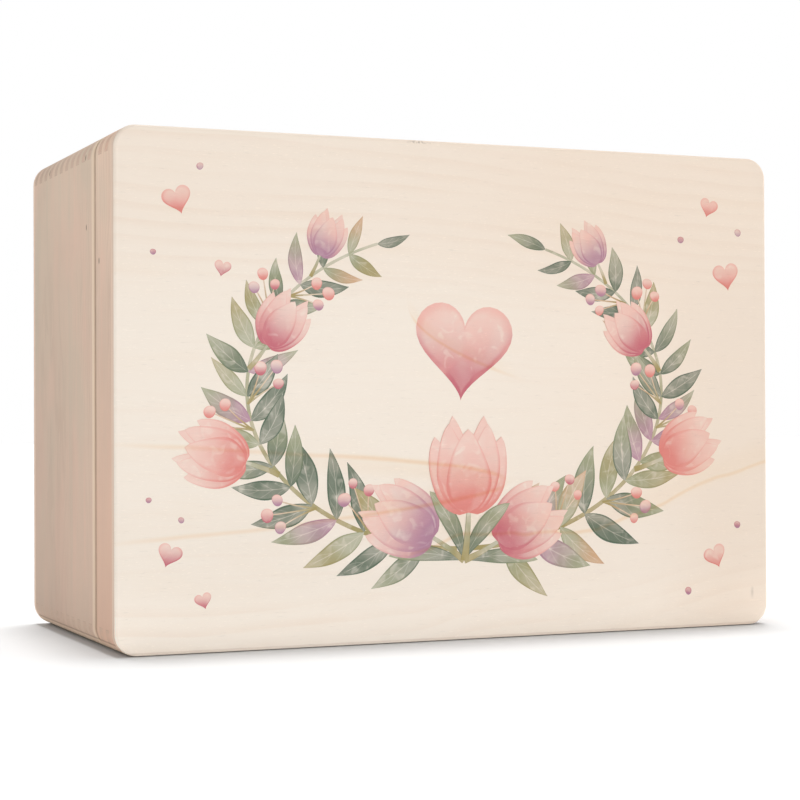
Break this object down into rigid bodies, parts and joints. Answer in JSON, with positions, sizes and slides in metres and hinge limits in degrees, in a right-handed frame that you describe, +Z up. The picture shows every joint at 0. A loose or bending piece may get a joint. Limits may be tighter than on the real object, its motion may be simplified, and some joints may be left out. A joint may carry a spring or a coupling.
{
  "type": "keepsake box",
  "caption": "Finger-jointed pine keepsake box with rounded corners, plywood panels and a lid on butt hinges, standing on its long front wall.",
  "frame": {"origin": "middle of the footprint, on the surface that the box stands on", "axes": "+Z up, +X along the hinges to the right as the lid's face is seen, +Y from the lid's panel to the base panel"},
  "size_m": [0.295, 0.14, 0.2079],
  "materials": {
    "pine": "bare sanded pine, unvarnished",
    "plywood": "pale bare plywood with a printed face",
    "hinge_brass": "thin brass plating, satin",
    "pin_steel": "plain steel wire"
  },
  "bodies": {
    "box": {"body_front_wall": "pine", "body_back_wall": "pine", "body_left_wall": "pine", "body_right_wall": "pine", "base_panel": "plywood", "left_hinge_body_leaf": "hinge_brass", "left_hinge_pin": "pin_steel", "left_hinge_screws_body": "hinge_brass", "right_hinge_body_leaf": "hinge_brass", "right_hinge_pin": "pin_steel", "right_hinge_screws_body": "hinge_brass"},
    "lid": {"lid_front_rail": "pine", "lid_back_rail": "pine", "lid_left_rail": "pine", "lid_right_rail": "pine", "lid_panel": "plywood", "left_hinge_lid_leaf": "hinge_brass", "left_hinge_screws_lid": "hinge_brass", "right_hinge_lid_leaf": "hinge_brass", "right_hinge_screws_lid": "hinge_brass"}
  },
  "joints": [
    {"name": "lid_hinge", "type": "hinge", "parent": "box", "child": "lid", "pos_m": [0, -0.041, 0.2062], "axis": [-1, 0, 0], "range_deg": [0, 180]}
  ]
}
